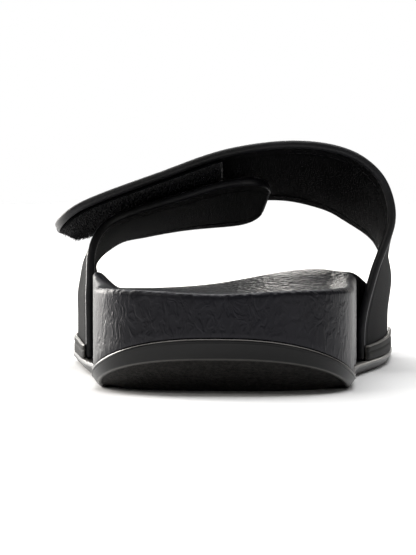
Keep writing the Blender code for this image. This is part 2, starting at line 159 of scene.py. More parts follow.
materialSizes = {
    "wrinkleCell": 0.0026,  # cell of the moulded skin's leather-like grain, metres
    "wrinkleStretch": (1.0, 1.0, 0.6),  # its creases run more up than across
    "pebbleCell": 0.0016,  # nub on the footbed's top
    "crumbCell": 0.0014,  # rough cast texture under the heel
    "strapGrain": 0.0006,  # grain of the strap's outer face, coarser than the real one to show
    "liningThread": 0.0005,  # knit of the lining, coarser too
    "fluffCell": 0.0009,  # tufts of the loop tape
}

tones = {
    # the two tones that each finish varies between; the rubber's pale tone is reached on the marked
    # edges as a painted highlight
    "foam": ("#07070a", "#0f0f15"), "rubber": ("#0b0b0c", "#878480"), "lining": ("#030304", "#070709"),
    "fluff": ("#070708", "#141416"), "hook": ("#0a0a0b", "#18181a"), "thread": ("#141416", "#202022"),
}

synthetics = {
    # finishes of strap and rand: two tones, roughness and specular level
    "strapSynthetic": (("#111112", "#1b1b1d"), 0.79, 0.08),
    "strapCutEdge": (("#0c0c0d", "#16161a"), 0.42, 0.30),
    # the two rim finishes are paler bands on the straps' edge corners, painted highlights
    "paintedStrapEdgeHighlight": (("#37373a", "#535357"), 0.40, 0.42),
    "paintedUnderEdgeHighlight": (("#626266", "#8a8a8f"), 0.36, 0.50),
    "randRubber": (("#0a0a0a", "#171615"), 0.62, 0.10),
    # the rand's lip finish is paler as a painted highlight
    "randLipPaintedHighlight": (("#2c2a27", "#4a4641"), 0.38, 0.40),
}


def mouldedSkinFoam():
    # Moulded EVA foam with a skin: satin, soft crinkles like leather on the wall and small
    # round nubs on the top, where the mark topFace is 1
    made, tree, shader, where = newMaterial("mouldedSkinFoam", Specular_IOR_Level=0.26,
                                            Specular_Tint=(0.94, 0.93, 1.0, 1.0))
    cell = materialSizes["wrinkleCell"]
    tallCells = addNode(tree, "ShaderNodeVectorMath", {0: where}, operation="MULTIPLY")
    tallCells.inputs[1].default_value = materialSizes["wrinkleStretch"]
    wander = addNode(tree, "ShaderNodeTexNoise", {"Vector": tallCells.outputs[0]}, Scale=0.5 / cell,
                     Detail=2.0)
    bent = addNode(tree, "ShaderNodeVectorMath", {0: wander.outputs["Color"]}, operation="SCALE",
                   Scale=1.6 * cell)
    moved = addNode(tree, "ShaderNodeVectorMath", {0: tallCells.outputs[0], 1: bent.outputs[0]},
                    operation="ADD")
    vein = addNode(tree, "ShaderNodeTexNoise", {"Vector": moved.outputs[0]}, Scale=0.75 / cell,
                   Detail=3.0, Roughness=0.55, Distortion=0.5)
    # a crease lies where the noise passes its middle
    away = addNode(tree, "ShaderNodeMath", {0: vein.outputs["Fac"]}, operation="SUBTRACT")
    away.inputs[1].default_value = 0.5
    fold = addNode(tree, "ShaderNodeMath", {0: away.outputs[0]}, operation="ABSOLUTE")
    crease = addNode(tree, "ShaderNodeMapRange", {"Value": fold.outputs[0]},
                     interpolation_type="SMOOTHSTEP", From_Max=0.16)
    nubs = addNode(tree, "ShaderNodeTexVoronoi", {"Vector": where}, feature="SMOOTH_F1",
                   Scale=1.0 / materialSizes["pebbleCell"])
    nubHeight = addNode(tree, "ShaderNodeMapRange", {"Value": nubs.outputs["Distance"]}, From_Max=0.70,
                        To_Min=6.5, To_Max=0.0)
    top = addNode(tree, "ShaderNodeAttribute", attribute_name="topFace")
    grain = addNode(tree, "ShaderNodeMix", {"Factor": top.outputs["Fac"], "A": crease.outputs["Result"],
                                            "B": nubHeight.outputs["Result"]})
    addNode(tree, "ShaderNodeBump", {"Height": grain.outputs["Result"]},
            shader.inputs["Normal"], Strength=0.48, Distance=0.00022)
    cloud = addNode(tree, "ShaderNodeTexNoise", {"Vector": where}, Scale=38.0, Detail=3.0)
    colourBetween(tree, shader, cloud.outputs["Fac"], tones["foam"])
    addNode(tree, "ShaderNodeMapRange", {"Value": cloud.outputs["Fac"]},
            shader.inputs["Roughness"], To_Min=0.32, To_Max=0.46)
    return made


def outsoleRubber():
    # Cast outsole compound: satin side, dull and crumbly underneath, where the mark under is 1,
    # and glossier on the marked edge rings, where it is also painted paler as a highlight
    made, tree, shader, where = newMaterial("outsoleRubber", Specular_IOR_Level=0.26,
                                            Coat_Roughness=0.24)
    crumb = addNode(tree, "ShaderNodeTexNoise", {"Vector": where},
                    Scale=1.0 / materialSizes["crumbCell"], Detail=4.0, Roughness=0.65)
    under = addNode(tree, "ShaderNodeAttribute", attribute_name="under")
    amount = addNode(tree, "ShaderNodeMapRange", {"Value": under.outputs["Fac"]}, To_Min=0.06,
                     To_Max=1.40)
    height = addNode(tree, "ShaderNodeMath", {0: crumb.outputs["Fac"], 1: amount.outputs["Result"]},
                     operation="MULTIPLY")
    addNode(tree, "ShaderNodeBump", {"Height": height.outputs[0]}, shader.inputs["Normal"],
            Strength=0.8, Distance=0.0005)
    glossAndHighlight = addNode(tree, "ShaderNodeAttribute", attribute_name="glossAndHighlight").outputs["Fac"]
    tree.links.new(glossAndHighlight, shader.inputs["Coat Weight"])
    mottle = addNode(tree, "ShaderNodeMath", {0: crumb.outputs["Fac"], 1: under.outputs["Fac"]},
                     operation="MULTIPLY")
    # paler where the edge mark is 1, a painted highlight; the mottle underneath is the compound's own
    # tone
    paler = addNode(tree, "ShaderNodeMath", {0: mottle.outputs[0], 2: glossAndHighlight},
                    operation="MULTIPLY_ADD")
    paler.inputs[1].default_value = 0.5
    colourBetween(tree, shader, paler.outputs[0], tones["rubber"], 0.17, 1.0)
    addNode(tree, "ShaderNodeMapRange", {"Value": under.outputs["Fac"]},
            shader.inputs["Roughness"], To_Min=0.34, To_Max=0.62)
    return made


def strapSynthetic(name, tonePair, roughness, specular):
    # Coated microfibre: fine even grain and a soft low gloss
    made, tree, shader, where = newMaterial(name, Specular_IOR_Level=specular)
    grain = addNode(tree, "ShaderNodeTexVoronoi", {"Vector": where}, feature="SMOOTH_F1",
                    Scale=1.0 / materialSizes["strapGrain"])
    cloud = addNode(tree, "ShaderNodeTexNoise", {"Vector": where}, Scale=60.0, Detail=4.0)
    addNode(tree, "ShaderNodeBump", {"Height": grain.outputs["Distance"]},
            shader.inputs["Normal"], Strength=0.5, Distance=0.00018)
    colourBetween(tree, shader, cloud.outputs["Fac"], tonePair)
    addNode(tree, "ShaderNodeMapRange", {"Value": cloud.outputs["Fac"]},
            shader.inputs["Roughness"], To_Min=roughness - 0.05, To_Max=roughness + 0.08)
    return made


def liningKnit():
    # Brushed knit lining: nearly black and dull
    made, tree, shader, where = newMaterial("liningKnit", Roughness=0.85, Specular_IOR_Level=0.03)
    knit = addNode(tree, "ShaderNodeTexVoronoi", {"Vector": where}, feature="F1",
                   Scale=1.0 / materialSizes["liningThread"])
    cloud = addNode(tree, "ShaderNodeTexNoise", {"Vector": where}, Scale=90.0, Detail=4.0)
    addNode(tree, "ShaderNodeBump", {"Height": knit.outputs["Distance"]},
            shader.inputs["Normal"], Strength=0.5, Distance=0.0002)
    colourBetween(tree, shader, cloud.outputs["Fac"], tones["lining"])
    return made


def loopFluff():
    # Loop half of the closure: soft tufted nylon with a faint sheen
    made, tree, shader, where = newMaterial("loopFluff", Roughness=0.9, Specular_IOR_Level=0.1,
                                            Sheen_Weight=0.03)
    tuft = addNode(tree, "ShaderNodeTexNoise", {"Vector": where}, Scale=1.0 / materialSizes["fluffCell"],
                   Detail=5.0, Roughness=0.7)
    addNode(tree, "ShaderNodeBump", {"Height": tuft.outputs["Fac"]}, shader.inputs["Normal"],
            Strength=0.9, Distance=0.0006)
    colourBetween(tree, shader, tuft.outputs["Fac"], tones["fluff"])
    return made


def hookNylon():
    # Hook half of the closure: moulded nylon with a low satin gloss
    made, tree, shader, where = newMaterial("hookNylon", Roughness=0.46, Specular_IOR_Level=0.15)
    speck = addNode(tree, "ShaderNodeTexNoise", {"Vector": where}, Scale=900.0, Detail=2.0)
    colourBetween(tree, shader, speck.outputs["Fac"], tones["hook"])
    return made


def threadPolyester():
    # Twisted polyester sewing thread: a little shine, broken by the twist
    made, tree, shader, where = newMaterial("threadPolyester", Roughness=0.55, Specular_IOR_Level=0.3)
    twist = addNode(tree, "ShaderNodeTexNoise", {"Vector": where}, Scale=2400.0, Detail=2.0)
    addNode(tree, "ShaderNodeBump", {"Height": twist.outputs["Fac"]}, shader.inputs["Normal"],
            Strength=0.6, Distance=0.0001)
    colourBetween(tree, shader, twist.outputs["Fac"], tones["thread"])
    return made


foam = mouldedSkinFoam()
rubber = outsoleRubber()
strapFace, strapEdge, strapHighlightFinish, underHighlightFinish, randRubber, randLipPaintedHighlight = [
    strapSynthetic(name, *look) for name, look in synthetics.items()]
lining = liningKnit()
fluff = loopFluff()
hookPlastic = hookNylon()
thread = threadPolyester()
print("materials made")


# Sole: outsole and footbed


sole = {
    "length": 0.272, "ballWidth": 0.1126, "heelToOrigin": 0.060,
    "heelRound": 0.038, "heelSquareness": 2.5, "toeRound": 0.075, "toeSquareness": 2.15,
    "edge": 0.0040, "bead": 0.0014, "chamfer": 0.0013,
    "heelKick": 0.0113, "heelKickPower": 1.35, "heelKickRun": 0.042,
    "heelEdgeRise": 0.0022, "heelEdgePower": 3.0,
    "toeSpring": 0.0065, "toeSpringPower": 1.7, "toeSpringRun": 0.87,
    "treadGroove": 0.0010, "waistLift": 0.0012, "waistAt": 0.452, "waistReach": 0.075,
    "sideDraft": 0.0022, "heelDraftShare": 0.6,
    # bevel under the heel, its run and depth as shares of the kick's run
    "bevelRun": 1.4, "bevelPower": 1.3, "bevelDepth": 0.60,
    # ledge outside the footbed, and the shares of the length where it is wide
    "plainLedge": 0.0006, "strapLedge": 0.0047, "ledgeRing": 0.0025, "underFootbed": 0.004,
    "ledgeRear": 0.412, "ledgeFront": 0.762, "ledgeLead": 0.085, "ledgeFade": 0.075,
    # ends of the middle line that rings close on, as shares of the heel's and toe's round
    "hub": (1.0, 0.67), "treadHub": (1.8, 1.0),
    "gap": 0.0003, "loopPoints": 480,
    # share of the length, centre and half width as shares of the ball width
    "plan": (
        (0.000, 0.000, 0.357), (0.147, 0.000, 0.361), (0.294, -0.021, 0.375), (0.404, -0.034, 0.421),
        (0.515, -0.036, 0.466), (0.625, -0.045, 0.495), (0.717, -0.044, 0.496), (0.827, -0.020, 0.482),
        (0.919, 0.012, 0.470), (1.000, 0.036, 0.460),
    ),
    # outsole edge from the floor up: inset and depth under the top as shares of the bead, and share of
    # gloss with a painted highlight
    "edgeProfile": (
        (0.14, 1.60, 0), (0.14, 1.30, 0), (0.20, 1.14, 0), (0.24, 1.06, 0), (0.16, 0.98, 0),
        (0.02, 0.92, 0), (0.00, 0.84, 0), (0.00, 0.66, 0), (0.04, 0.46, 0), (0.12, 0.28, 1),
        (0.27, 0.12, 1), (0.46, 0.03, 1), (0.70, 0.00, 1),
    ),
    # lower corner, from the bevel outward: inset and height as shares of the chamfer, and share of gloss
    # with a painted highlight
    "lip": (
        (1.00, 0.38, 0), (0.74, 0.06, 0), (0.48, 0.0, 0), (0.22, 0.06, 0.36), (0.07, 0.22, 0.36),
        (0.0, 0.52, 0),
    ),
    # tread rings: share of the way from the bevel to the middle, and depth of groove
    "tread": (
        (0.00, 0.0), (0.06, 0.0), (0.125, 0.0), (0.140, 0.25), (0.155, 0.9), (0.17, 1.0), (0.19, 1.0),
        (0.205, 0.9), (0.220, 0.25), (0.235, 0.0), (0.30, 0.0), (0.36, 0.0), (0.415, 0.0), (0.43, 0.25),
        (0.445, 0.9), (0.46, 1.0), (0.48, 1.0), (0.495, 0.9), (0.51, 0.25), (0.525, 0.0), (0.7, 0.0),
        (0.85, 0.0),
    ),
}

footbed = {
    "height": 0.0315, "edgeRadius": 0.0017, "seatEdge": 0.0002, "rimSteepness": 6.0,
    "heelDip": 0.0011, "heelDipWidth": 0.14,
    "archHump": 0.0037, "archAlong": 0.42, "archReach": 0.125,
    "archAcross": 0.235, "archInner": 0.255, "archOuter": 0.165,
    "lateralLift": 0.0034, "liftAlong": 0.370, "liftReach": 0.070,
    "liftAcross": -0.415, "liftWidth": 0.030,
    # rings: first and last share of the wall and their number, and shares of the way to the middle
    "wallRings": (0.12, 0.94, 8),
    "topRings": (0.015, 0.035, 0.06, 0.09, 0.12, 0.15, 0.18, 0.21, 0.24, 0.28, 0.33, 0.39, 0.46, 0.54,
                 0.63, 0.73, 0.84, 0.93, 1.0),
    "nubsFrom": 15.0, "nubsRun": 75.0,  # turn of the rounded rim over which the nubs come in, degrees
    # share of the length, rim and dish as shares of the height
    "heights": (
        (0.000, 1.000, 0.110), (0.130, 1.000, 0.150), (0.276, 1.000, 0.120), (0.404, 0.985, 0.095),
        (0.515, 0.880, 0.060), (0.625, 0.770, 0.055), (0.735, 0.690, 0.070), (0.864, 0.665, 0.075),
        (1.000, 0.715, 0.070),
    ),
}


def centreAt(along):
    # Middle line of the sole, from the table of shares
    return sole["ballWidth"] * tableCurve(sole["plan"], 1, along / sole["length"])


def halfWidthAt(along):
    # Half width from the table, rounded off at heel and toe by superellipses
    half = sole["ballWidth"] * tableCurve(sole["plan"], 2, along / sole["length"])
    heel = np.clip((sole["heelRound"] - along) / sole["heelRound"], 0.0, 1.0)
    toe = np.clip((along - sole["length"] + sole["toeRound"]) / sole["toeRound"], 0.0, 1.0)
    p, q = sole["heelSquareness"], sole["toeSquareness"]
    return half * np.maximum(1 - heel ** p, 0) ** (1 / p) * np.maximum(1 - toe ** q, 0) ** (1 / q)


def ledgeAt(along):
    # Ledge outside the footbed's wall: narrow, and as wide as the strap and rand where they stand
    share = along / sole["length"]
    rise = ease((share - sole["ledgeRear"] + sole["ledgeLead"]) / sole["ledgeFade"])
    fall = ease((sole["ledgeFront"] + sole["ledgeLead"] - share) / sole["ledgeFade"])
    return sole["plainLedge"] + (sole["strapLedge"] - sole["plainLedge"]) * rise * fall


def wallAt(along, side):
    # Place across of the footbed's wall, side +1 medial and -1 lateral
    return centreAt(along) + side * (halfWidthAt(along) - ledgeAt(along))


def toeLiftAt(along):
    # Height from the toe spring: a power curve over the toe's round
    start = sole["length"] - sole["toeRound"] * sole["toeSpringRun"]
    way = np.clip((along - start) / (sole["length"] - start), 0, 1)
    return sole["toeSpring"] * way ** sole["toeSpringPower"]


def outsoleBottomAt(along):
    # Lower edge of the side: the heel's sweep up at the back plus the toe spring
    kick = np.clip(1.0 - along / sole["heelKickRun"], 0, 1) ** sole["heelKickPower"]
    return sole["heelKick"] * kick + toeLiftAt(along)


def outsoleTopAt(along):
    # Top of the outsole: its lower edge, its thickness and a little more at the heel's back
    extra = np.clip(1.0 - along / sole["heelKickRun"], 0, 1) ** sole["heelEdgePower"]
    return outsoleBottomAt(along) + sole["edge"] + sole["heelEdgeRise"] * extra


def loopPlaces():
    # Points around the sole: cosine spacing along, side +1 and -1
    angle = 2.0 * math.pi * np.arange(sole["loopPoints"]) / sole["loopPoints"]
    return 0.5 * sole["length"] * (1.0 - np.cos(angle)), np.sign(np.round(np.sin(angle), 9))


def soleRing(inset, share, height, hub=None):
    # One loop: from the outline, inset and then a share of the way to the middle line
    along, side = loopPlaces()
    heelShare, toeShare = hub or sole["hub"]
    edge = np.stack([centreAt(along) + side * halfWidthAt(along), along], axis=1)
    hubAlong = np.clip(along, heelShare * sole["heelRound"],
                       sole["length"] - toeShare * sole["toeRound"])
    way = np.stack([centreAt(hubAlong), hubAlong], axis=1) - edge
    reach = np.linalg.norm(way, axis=1)
    inset = np.broadcast_to(inset, reach.shape)
    plan = edge + way / reach[:, None] * (inset + share * (reach - inset))[:, None]
    return fromHeel(np.column_stack([plan, height(plan[:, 0], plan[:, 1])]))


def fromHeel(points):
    # Moves points that are measured from the heel's back to the frame's origin
    return points - (0.0, sole["heelToOrigin"], 0.0)


def ringFaces(levels, count):
    # Quads between neighbouring closed rings of count points each
    k = np.arange(count)
    level = np.arange(levels - 1)[:, None] * count
    a, b = level + k, level + (k + 1) % count
    return np.stack([a, b, b + count, a + count], axis=-1).reshape(-1, 4)


def loftRings(name, rings, marks, finish):
    # Closed solid through loops of equal length, the first and last closing on a line
    count = len(rings[0])
    values = {key: np.repeat(np.array(per), count) for key, per in marks.items()}
    return makeMesh(name, np.concatenate(rings), ringFaces(len(rings), count), [finish], marks=values)


def makeOutsole():
    # Contour tread, bevelled heel, rounded lower corner, side edge with its bead, top ledge
    along, _ = loopPlaces()
    back = np.clip(1.0 - along / (sole["bevelRun"] * sole["heelKickRun"]), 0, 1) ** sole["bevelPower"]
    chamfer, bead, ledge, hub = sole["chamfer"], sole["bead"], sole["strapLedge"], sole["treadHub"]
    cornerInset = sole["sideDraft"] + chamfer
    tall = sole["edge"] - bead
    # the side slopes in under the bead, a little less round the heel
    keep = sole["heelDraftShare"]
    sideDraft = sole["sideDraft"] * (keep + (1.0 - keep) * ease(along / sole["heelKickRun"]))
    reach = cornerInset + (sole["bevelDepth"] * sole["heelKickRun"] - cornerInset) * back
    rings, under, glossAndHighlight = [], [], []

    def tread(groove):
        def height(x, y):
            offset = (y - sole["waistAt"] * sole["length"]) / (sole["waistReach"] * sole["length"])
            lift = sole["waistLift"] * np.exp(-offset ** 4)
            lift = np.where(lift < 1e-5, 0.0, lift)  # the flat spots stay flat
            return toeLiftAt(y) + lift + groove * sole["treadGroove"]
        return height

    def add(ring, isUnder=0.0, glossAndHighlightShare=0.0):
        rings.append(ring)
        under.append(isUnder)
        glossAndHighlight.append(glossAndHighlightShare)

    add(soleRing(reach, 1.0, tread(0.0), hub), 1.0)
    for share, groove in reversed(sole["tread"]):
        add(soleRing(reach, share, tread(groove), hub), 1.0)
    inset, rise, _ = sole["lip"][0]
    inner = soleRing(reach, 0.0, tread(0.0), hub)
    outer = soleRing(sideDraft + inset * chamfer, 0.0, lambda x, y: outsoleBottomAt(y) + rise * chamfer)
    for part in (0.33, 0.66, 1.0):  # the bevel under the heel, from the tread to the lower edge
        add(inner + (outer - inner) * part, 1.0)
    for inset, rise, edgeGlossAndHighlight in sole["lip"][1:]:  # the rounded lower corner
        draft = sideDraft * (1.0 - rise * chamfer / tall)
        add(soleRing(inset * chamfer + draft, 0.0, lambda x, y: outsoleBottomAt(y) + rise * chamfer),
            0.0, edgeGlossAndHighlight)
    for inset, below, edgeGlossAndHighlight in sole["edgeProfile"]:  # the side and its bead
        draft = sideDraft * max(below - 1.0, 0.0) * bead / tall
        add(soleRing(inset * bead + draft, 0.0, lambda x, y: outsoleTopAt(y) - below * bead),
            0.0, edgeGlossAndHighlight)
    for inset, share in ((sole["ledgeRing"], 0.0), (ledge + sole["underFootbed"], 0.0), (ledge, 0.5),
                         (ledge, 1.0)):
        add(soleRing(inset, share, lambda x, y: outsoleTopAt(y)))
    return loftRings("outsoleShell", rings, {"under": under, "glossAndHighlight": glossAndHighlight}, rubber)


def rimAt(x, y):
    # Height of the rim, a little lower in the middle of the heel
    rim = footbed["height"] * tableCurve(footbed["heights"], 1, y / sole["length"])
    across = (x / (footbed["heelDipWidth"] * sole["ballWidth"])) ** 2
    return rim - footbed["heelDip"] * np.exp(-across - (y / sole["heelRound"]) ** 2)


def bedHeight(depth):
    # Top of the footbed: rim, less the dish, plus the arch hump's lopsided bell and a small bell
    # on the lateral rim beside the strap
    def height(x, y):
        dish = footbed["height"] * tableCurve(footbed["heights"], 2, y / sole["length"])
        far = ((y / sole["length"] - footbed["archAlong"]) / footbed["archReach"]) ** 2
        offset = x / sole["ballWidth"] - footbed["archAcross"]
        across = np.where(offset < 0, offset / footbed["archInner"], offset / footbed["archOuter"]) ** 2
        along = ((y / sole["length"] - footbed["liftAlong"]) / footbed["liftReach"]) ** 2
        beside = ((x / sole["ballWidth"] - footbed["liftAcross"]) / footbed["liftWidth"]) ** 2
        bell = np.exp(-far - across)
        bells = footbed["archHump"] * bell + footbed["lateralLift"] * np.exp(-along - beside)
        return rimAt(x, y) - dish * ease(depth) * (1.0 - bell) + bells
    return height


def makeFootbed():
    # Block with a flat seat, an upright wall, a rounded rim and the dished, humped top
    along, _ = loopPlaces()
    inset = ledgeAt(along)
    radius, seatEdge = footbed["edgeRadius"], footbed["seatEdge"]
    rim = bedHeight(0.0)

    def seat(x, y):
        return outsoleTopAt(y) + sole["gap"]

    rings = [soleRing(inset, 1.0, seat), soleRing(inset, 0.5, seat),
             soleRing(inset + seatEdge, 0.0, seat)]
    for turn in np.radians((45, 90)):
        side, rise = seatEdge * (1 - math.sin(turn)), seatEdge * (1 - math.cos(turn))
        rings.append(soleRing(inset + side, 0.0, lambda x, y: seat(x, y) + rise))
    for part in np.linspace(*footbed["wallRings"]):
        rings.append(soleRing(inset, 0.0, lambda x, y: seat(x, y) + seatEdge
                              + part * (rim(x, y) - radius - seat(x, y) - seatEdge)))
    top = [0.0] * len(rings)
    for turn in np.linspace(0, 90, 9):
        side = radius * (1 - math.cos(math.radians(turn)))
        drop = radius * (1 - math.sin(math.radians(turn)))
        rings.append(soleRing(inset + side, 0.0, lambda x, y: rim(x, y) - drop))
        top.append(float(ease((turn - footbed["nubsFrom"]) / footbed["nubsRun"])))
    for share in footbed["topRings"]:
        rings.append(soleRing(inset + radius, share, bedHeight(share * footbed["rimSteepness"])))
        top.append(1.0)
    return loftRings("footbedBlock", rings, {"topFace": top}, foam)


for piece, node in ((makeOutsole(), "outsole"), (makeFootbed(), "footbed")):
    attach(piece, "root")
    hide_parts(node)
print("sole made")


# Straps


straps = {
    "instepHeight": 0.0775, "thickness": 0.0028, "slopeAllowance": 1.14,
    "hookThickness": 0.0012, "loopThickness": 0.0008,
    "outerEnd": 0.17, "underEnd": 0.14, "endPower": 3.2, "endLimit": 0.985, "edgeRound": 0.34,
    "bunching": 0.10,  # how much closer the grid's steps lie towards the rounded end
    "edgeTurns": (90, 65, 40, 15, -15, -40, -65, -90),
    # rows from the foot over the crown to the free end: along rear and front, across rear and
    # front, up rear and front, share of hugging the wall
    "outer": (
        (0.412, 0.762, 0.420, 0.430, None, None, 1.0),
        (0.416, 0.760, 0.412, 0.430, 0.225, 0.210, 0.95),
        (0.425, 0.751, 0.430, 0.446, 0.430, 0.390, 0.45),
        (0.438, 0.741, 0.455, 0.400, 0.655, 0.545, 0.0),
        (0.443, 0.732, 0.432, 0.304, 0.815, 0.648, 0.0),
        (0.441, 0.724, 0.338, 0.222, 0.938, 0.708, 0.0),
        (0.434, 0.717, 0.180, 0.085, 0.982, 0.744, 0.0),
        (0.430, 0.717, -0.020, -0.068, 0.949, 0.733, 0.0),
        (0.427, 0.720, -0.230, -0.236, 0.846, 0.702, 0.0),
        (0.427, 0.724, -0.412, -0.395, 0.750, 0.650, 0.0),
        (0.430, 0.724, -0.498, -0.490, 0.690, 0.598, 0.0),
        (0.434, 0.720, -0.566, -0.562, 0.620, 0.560, 0.0),
    ),
    "underSide": (
        (0.434, 0.762, 0.440, 0.500, None, None, 1.0),
        (0.436, 0.762, 0.438, 0.502, 0.215, 0.205, 1.0),
        (0.441, 0.760, 0.437, 0.508, 0.360, 0.330, 0.97),
        (0.456, 0.758, 0.436, 0.513, 0.530, 0.440, 0.25),
        (0.476, 0.756, 0.402, 0.434, 0.634, 0.538, 0.0),
    ),
    "underTop": (
        (0.493, 0.755, -0.318, -0.338), (0.500, 0.755, -0.190, -0.220),
        (0.502, 0.755, -0.050, -0.095), (0.500, 0.752, 0.106, 0.024),
    ),
    # soft creases: travel and share of the middle, their spreads, and height in metres
    "outerCreases": (
        (0.30, 0.18, 0.030, 0.22, -0.00055), (0.355, 0.30, 0.028, 0.25, 0.00045),
        (0.41, 0.72, 0.035, 0.20, -0.00050), (0.47, 0.85, 0.030, 0.18, 0.00035),
        (0.62, 0.20, 0.045, 0.20, 0.00040), (0.70, 0.62, 0.040, 0.24, -0.00035),
        (0.86, 0.35, 0.035, 0.25, 0.00030), (0.22, 0.62, 0.030, 0.22, -0.00040),
    ),
    "underCreases": (
        (0.26, 0.25, 0.035, 0.22, -0.00045), (0.33, 0.66, 0.035, 0.25, 0.00035),
        (0.45, 0.30, 0.040, 0.22, -0.00035),
    ),
    "hemDepth": 0.00022, "hemIn": 0.0036, "hemWide": 0.0006, "innerHemIn": 0.0075,
    "stitchPitch": 0.0026, "stitchLength": 0.0019, "stitchRadius": 0.00020,
    # one stitch: along as shares of half its length, up and thickness as shares of its radius
    "stitchShape": ((-1, -1.6, 0.3), (-0.8, -0.7, 1), (0, -0.5, 1), (0.8, -0.7, 1), (1, -1.6, 0.3)),
}


def sideRow(row, share, side):
    # Middle of the strap's wall along one table row: the footbed's wall where it hugs it
    alongRear, alongFront, acrossRear, acrossFront, upRear, upFront, hug = row
    along = sole["length"] * (alongRear + (alongFront - alongRear) * share)
    free = sole["ballWidth"] * (acrossRear + (acrossFront - acrossRear) * share)
    wall = wallAt(along, side) + side * (sole["gap"] + 0.5 * straps["thickness"])
    across = hug * wall + (1.0 - hug) * side * free
    if upRear is None:
        up = outsoleTopAt(along) + sole["gap"]
    else:
        up = straps["instepHeight"] * (upRear + (upFront - upRear) * share)
    return np.stack([across, along, up], axis=-1)


def outerRows(share):
    # Rows of the outer strap's middle surface at shares from its rear to its front edge
    return np.array([sideRow(row, share, 1.0) for row in straps["outer"]])


def outerHeight(across, along):
    # Height of the outer strap's middle surface over a place on the instep
    top = outerRows(np.array([0.0, 1.0]))[4:]  # from the bend on; its third row is the crown
    rear, front = top[:, 0], top[:, 1]
    share = (along - rear[2, 1]) / (front[2, 1] - rear[2, 1])
    places = rear[:, 0] + (front[:, 0] - rear[:, 0]) * share
    heights = rear[:, 2] + (front[:, 2] - rear[:, 2]) * share
    order = np.argsort(places)
    return float(tableCurve(list(zip(places[order], heights[order])), 1, across))


def underRows(share):
    # Rows of the under strap's middle surface; on top it lies one closure below the outer strap
    rows = [sideRow(row, share, -1.0) for row in straps["underSide"]]
    stack = straps["thickness"] + straps["hookThickness"] + straps["loopThickness"] + 3 * sole["gap"]
    for alongRear, alongFront, acrossRear, acrossFront in straps["underTop"]:
        across = sole["ballWidth"] * (acrossRear + (acrossFront - acrossRear) * share)
        along = sole["length"] * (alongRear + (alongFront - alongRear) * share)
        up = [outerHeight(x, y) - straps["slopeAllowance"] * stack for x, y in zip(across, along)]
        rows.append(np.stack([across, along, np.array(up)], axis=-1))
    return np.array(rows)


sheetWide = 24
sheetFine = 1920
outerSheet = rowPath(outerRows(np.linspace(0.0, 1.0, sheetWide + 1)), sheetFine)
underSheet = rowPath(underRows(np.linspace(0.0, 1.0, sheetWide + 1)), sheetFine)
# each half: its sheet, its rounded end, side +1 medial or -1 lateral, and its creases
outerHalf = (outerSheet, straps["outerEnd"], 1.0, straps["outerCreases"])
underHalf = (underSheet, straps["underEnd"], -1.0, straps["underCreases"])


def columnPlaces(columns):
    # Places across from -0.5 to 0.5: a fifth of the columns lie in the outer 8% at each edge
    return np.interp(np.arange(columns + 1) / columns, (0, 0.2, 0.8, 1), (-0.5, -0.42, 0.42, 0.5))


def strapGrid(sheet, end, inset, steps, columns, span=(0.0, 1.0), places=None):
    # Grid over a strap's middle surface, narrowed at its end by a superellipse and set in from its
    # edges; span is the stretch that it covers, as shares of the strap's travel
    length = np.sum(np.linalg.norm(np.diff(sheet[:, sheetWide // 2], axis=0), axis=1))
    travel = np.linspace(0.0, 1.0, steps + 1)
    travel = np.clip(travel + straps["bunching"] * np.sin(np.pi * travel) * travel, 0, 1)
    travel = span[0] + (span[1] - span[0]) * travel
    travel = np.clip(travel, inset / length, 1.0 - inset / length)
    at = travel * sheetFine
    k = np.clip(at.astype(int), 0, sheetFine - 1)
    line = sheet[k] + (sheet[k + 1] - sheet[k]) * (at - k)[:, None, None]
    width = np.linalg.norm(line[:, -1] - line[:, 0], axis=1)
    into = np.clip((travel - 1.0 + end) / end, 0.0, straps["endLimit"])
    keep = (1.0 - into ** straps["endPower"]) ** (1.0 / straps["endPower"]) - 2.0 * inset / width
    across = columnPlaces(columns) if places is None else places
    place = np.clip(0.5 + across[None, :] * keep[:, None], 0.0, 1.0) * sheetWide
    low = np.clip(place.astype(int), 0, sheetWide - 1)
    index = np.arange(len(line))[:, None]
    return line[index, low] + (line[index, low + 1] - line[index, low]) * (place - low)[..., None]


def gridNormals(grid, side):
    # Unit normals of a grid, turned to the strap's outer face
    normal = np.cross(np.gradient(grid, axis=1), np.gradient(grid, axis=0)) * side
    return normal / np.maximum(np.linalg.norm(normal, axis=2, keepdims=True), 1e-12)


def softCreases(rows, steps, columns):
    # Sum of the listed bells over travel and share, in metres along the normal
    travel = np.linspace(0.0, 1.0, steps + 1)[:, None]
    share = (columnPlaces(columns) + 0.5)[None, :]
    bells = [high * np.exp(-((travel - t) / wt) ** 2 - ((share - s) / ws) ** 2)
             for t, s, wt, ws, high in rows]
    return np.sum(bells, axis=0) if rows else np.zeros((steps + 1, columns + 1))


def hemGroove(grid, reach):
    # Shallow stitched groove a fixed way in from both long edges, in metres along the normal
    wide = np.linalg.norm(grid[:, -1] - grid[:, 0], axis=1)[:, None]
    arc = np.abs(columnPlaces(grid.shape[1] - 1))[None, :]
    groove = np.exp(-(((0.5 - arc) * wide - reach) / straps["hemWide"]) ** 2)
    return -straps["hemDepth"] * groove


def gridFaces(rows, wide):
    # Quads of a grid of points, and the places of its border points, once around
    spot = np.arange(rows * wide).reshape(rows, wide)
    quads = np.stack([spot[:-1, :-1], spot[:-1, 1:], spot[1:, 1:], spot[1:, :-1]], axis=-1)
    rim = np.concatenate([spot[:, 0], spot[-1, 1:], spot[-2::-1, -1], spot[0, -2:0:-1]])
    return quads.reshape(-1, 4), rim


def bandFaces(upper, lower):
    # Quads between two closed loops of point places
    return np.stack([upper, np.roll(upper, -1), np.roll(lower, -1), lower], axis=1)


